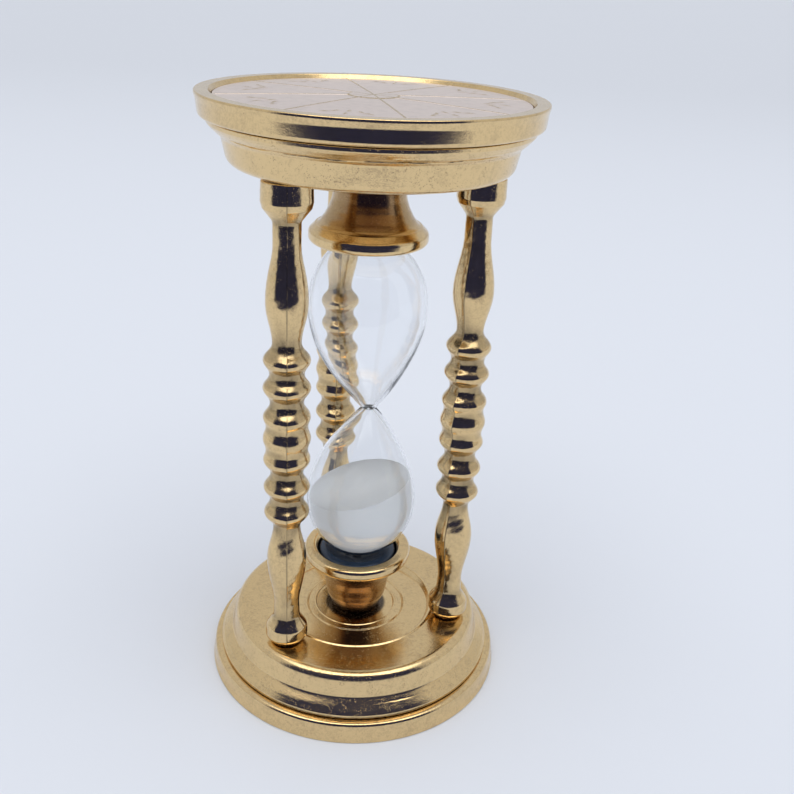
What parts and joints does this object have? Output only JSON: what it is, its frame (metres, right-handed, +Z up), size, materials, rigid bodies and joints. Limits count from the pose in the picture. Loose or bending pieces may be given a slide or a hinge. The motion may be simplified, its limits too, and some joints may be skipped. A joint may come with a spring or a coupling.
{
  "type": "hourglass",
  "caption": "Polished brass hourglass: round stepped ends with a spoked relief disc, ringed cast pillars, and a clear blown glass vial of white sand held in bell-shaped cups.",
  "frame": {"origin": "centre of the base's underside", "axes": "+Z up along the vial, from the base to the top; +X and +Y across, with the back pillar 17.1 degrees past +Y towards -X"},
  "size_m": [0.078, 0.078, 0.15],
  "materials": {
    "polished_brass": "polished, lightly aged, with fine pitting",
    "cast_brass": "polished casting with darker pits and a parting seam",
    "relief_brass": "satin ground, pinkish, with bright raised spokes",
    "steel_fixing": "zinc plated",
    "black_rubber": "smooth, glossy",
    "stopper_rubber": "matt",
    "clear_glass": "clear, blown",
    "white_sand": "fine white grains"
  },
  "bodies": {
    "root": {"bottom_end_cap": "polished_brass", "bottom_relief_disc": "relief_brass", "bottom_end_plate": "cast_brass", "bottom_glass_cup": "polished_brass", "bottom_cushion": "black_rubber", "bottom_screw_cup": "steel_fixing", "bottom_washer_cup": "steel_fixing", "bottom_screw_back": "steel_fixing", "bottom_washer_back": "steel_fixing", "bottom_screw_front_left": "steel_fixing", "bottom_washer_front_left": "steel_fixing", "bottom_screw_front_right": "steel_fixing", "bottom_washer_front_right": "steel_fixing", "top_end_cap": "polished_brass", "top_relief_disc": "relief_brass", "top_end_plate": "cast_brass", "top_glass_cup": "polished_brass", "top_cushion": "black_rubber", "top_screw_cup": "steel_fixing", "top_washer_cup": "steel_fixing", "top_screw_back": "steel_fixing", "top_washer_back": "steel_fixing", "top_screw_front_left": "steel_fixing", "top_washer_front_left": "steel_fixing", "top_screw_front_right": "steel_fixing", "top_washer_front_right": "steel_fixing", "pillar_back": "cast_brass", "pillar_front_left": "cast_brass", "pillar_front_right": "cast_brass", "glass_vial": "clear_glass", "fill_stopper": "stopper_rubber", "sand": "white_sand"}
  },
  "joints": []
}
